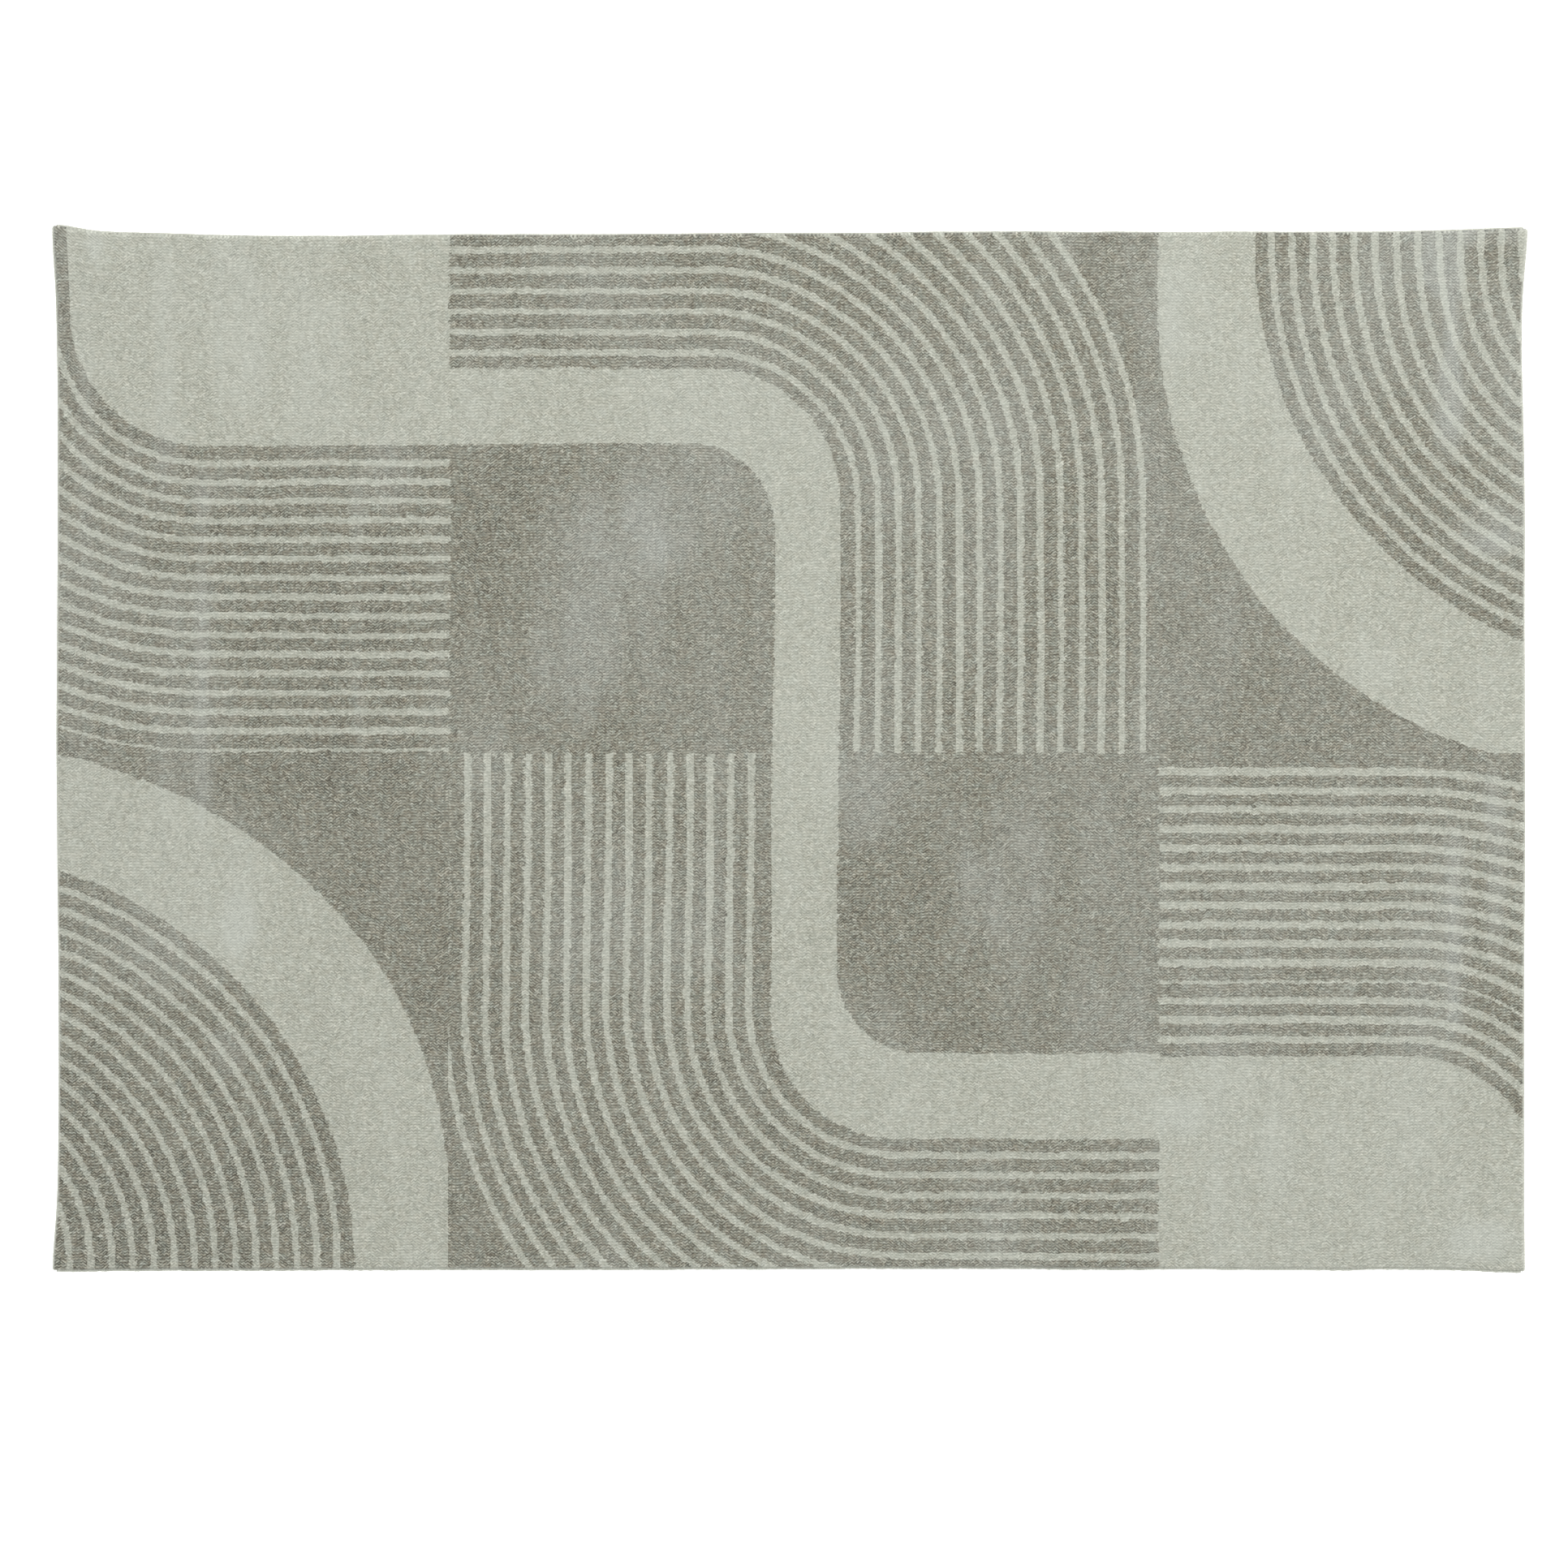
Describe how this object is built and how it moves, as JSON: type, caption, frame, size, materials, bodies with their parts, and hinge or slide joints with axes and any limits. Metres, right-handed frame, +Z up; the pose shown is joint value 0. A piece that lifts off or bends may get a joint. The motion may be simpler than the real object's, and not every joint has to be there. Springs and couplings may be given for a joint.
{
  "type": "area rug",
  "caption": "Flat rectangular cut-pile area rug in two pile colours with bands, rings and bent parallel lines, bound short sides and hemmed long sides.",
  "frame": {"origin": "centre of the underside, on the floor", "axes": "+X along the long side, +Y along the short side towards the upper hem, +Z up through the pile"},
  "size_m": [1.7, 1.2, 0.0115],
  "materials": {
    "sage_pile": "soft cut pile, pale sage yarn",
    "grey_pile": "cut pile of heather grey yarn with warm and light flecks",
    "jute_weave": "plain jute and cotton weave",
    "back_coat": "matt latex dots and film",
    "edge_yarn": "overlock stitching and hem tape"
  },
  "bodies": {
    "root": {"anti_slip_back_coat": "back_coat", "jute_ground_weave": "jute_weave", "left_edge_binding": "edge_yarn", "right_edge_binding": "edge_yarn", "lower_edge_hem": "edge_yarn", "upper_edge_hem": "edge_yarn", "sage_upper_left_block": "sage_pile", "sage_lower_right_block": "sage_pile", "sage_s_band": "sage_pile", "sage_left_lines": "sage_pile", "sage_right_lines": "sage_pile", "grey_left_square_and_stripes": "grey_pile", "grey_right_square_and_stripes": "grey_pile", "grey_upper_right_ground": "grey_pile", "grey_lower_left_ground": "grey_pile", "sage_upper_right_ring": "sage_pile", "sage_lower_left_ring": "sage_pile", "sage_upper_right_fan_lines": "sage_pile", "sage_lower_left_fan_lines": "sage_pile", "grey_upper_right_fan": "grey_pile", "grey_lower_left_fan": "grey_pile"}
  },
  "joints": []
}
